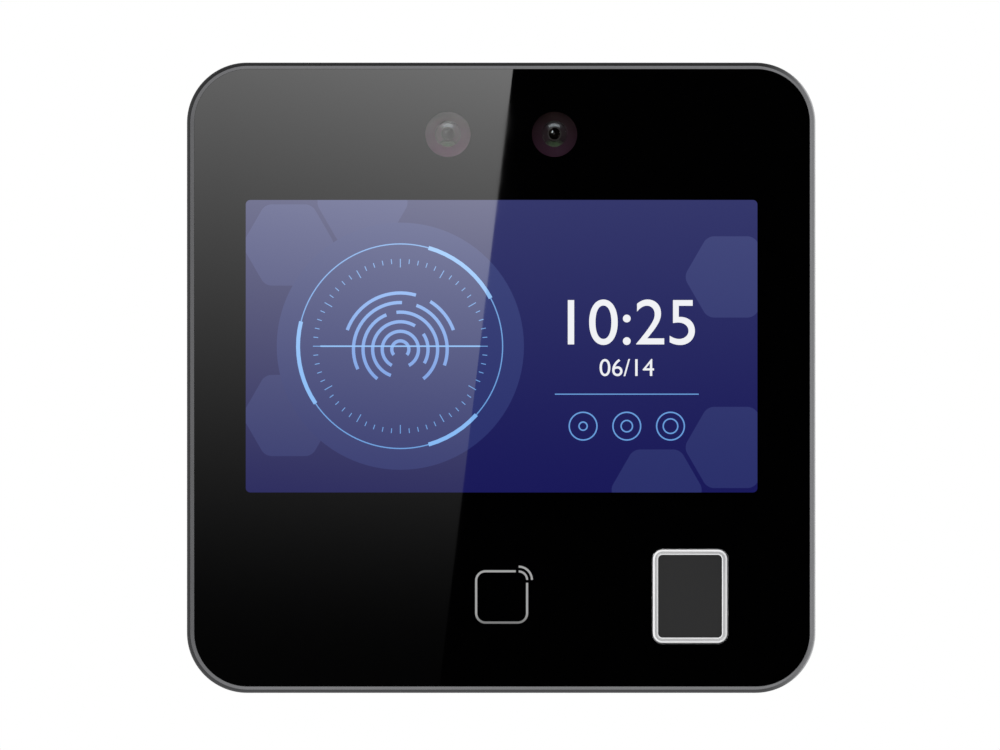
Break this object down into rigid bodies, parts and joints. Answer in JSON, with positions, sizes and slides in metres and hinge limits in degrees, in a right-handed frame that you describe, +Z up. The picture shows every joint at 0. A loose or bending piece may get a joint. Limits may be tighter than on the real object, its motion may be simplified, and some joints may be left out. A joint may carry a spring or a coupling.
{
  "type": "fingerprint access terminal",
  "caption": "Square wall-mounted access terminal with a black glass front, screen, cameras, card mark and framed fingerprint sensor, hooked on a steel wall plate.",
  "frame": {"origin": "on the wall, behind the middle of the body, on the wall plate's back face", "axes": "+X to the right of someone facing the screen, +Y into the wall, +Z up; the screen faces -Y"},
  "size_m": [0.118, 0.0265, 0.1184],
  "materials": {
    "frame_metal": "satin gunmetal",
    "cover_glass": "polished, black printed back",
    "display": "lit deep blue",
    "sensor_chrome": "polished",
    "sensor_pad": "matte dark grey",
    "lens_glass": "coated",
    "barrel_plastic": "matte dark",
    "black_plastic": "fine moulded texture",
    "grey_plastic": "moulded",
    "white_plastic": "moulded",
    "board_green": "solder mask",
    "board_black": "solder mask",
    "flex_film": "amber film",
    "rubber_seal": "matte",
    "plated_steel": "zinc plated",
    "screw_steel": "plated",
    "insert_brass": "turned",
    "contact_gold": "gold plated",
    "terminal_green": "moulded",
    "relay_blue": "moulded"
  },
  "bodies": {
    "wall_mount": {"wall_plate": "plated_steel", "security_screw": "screw_steel"},
    "terminal": {"bezel_frame": "frame_metal", "cover_glass": "cover_glass", "glass_tape": "rubber_seal", "lcd_panel": "display", "backlight_unit": "white_plastic", "lcd_flex": "flex_film", "lcd_connector": "white_plastic", "camera_board": "board_black", "left_camera_barrel": "barrel_plastic", "left_camera_lens": "lens_glass", "right_camera_barrel": "barrel_plastic", "right_camera_lens": "lens_glass", "camera_flex": "flex_film", "left_infrared_board": "board_black", "right_infrared_board": "board_black", "fingerprint_bezel": "sensor_chrome", "fingerprint_sensor": "sensor_pad", "fingerprint_board": "board_green", "fingerprint_foam": "rubber_seal", "fingerprint_flex": "flex_film", "card_antenna": "board_green", "inner_chassis": "grey_plastic", "main_board": "board_green", "board_screw_1": "screw_steel", "board_screw_2": "screw_steel", "board_screw_3": "screw_steel", "board_screw_4": "screw_steel", "processor": "black_plastic", "shield_can": "plated_steel", "lock_relay": "relay_blue", "network_transformer": "black_plastic", "supply_capacitor_1": "plated_steel", "supply_capacitor_2": "plated_steel", "battery_holder": "black_plastic", "clock_battery": "screw_steel", "ethernet_jack": "black_plastic", "jack_contacts": "contact_gold", "left_terminal_block": "terminal_green", "right_terminal_block": "terminal_green", "reset_switch": "black_plastic", "tamper_switch": "black_plastic", "tamper_spring": "screw_steel", "speaker_gasket": "rubber_seal", "speaker": "black_plastic", "speaker_lead": "rubber_seal", "rear_housing": "black_plastic", "housing_gasket": "rubber_seal", "housing_screw_1": "screw_steel", "housing_screw_2": "screw_steel", "housing_screw_3": "screw_steel", "housing_screw_4": "screw_steel", "screw_insert": "insert_brass"},
    "tamper": {"tamper_plunger": "white_plastic"},
    "reset": {"reset_button": "white_plastic"}
  },
  "joints": [
    {"name": "lift_off", "type": "slide", "parent": "wall_mount", "child": "terminal", "axis": [0, 0, 1], "range_m": [0, 0.006]},
    {"name": "tamper_press", "type": "slide", "parent": "terminal", "child": "tamper", "axis": [0, -1, 0], "range_m": [0, 0.001], "stiffness_N_per_m": 300, "springref_m": -0.0015, "deforming": ["tamper_spring"]},
    {"name": "reset_press", "type": "slide", "parent": "terminal", "child": "reset", "axis": [0, -1, 0], "range_m": [0, 0.0004], "stiffness_N_per_m": 3000, "springref_m": -0.0001}
  ]
}
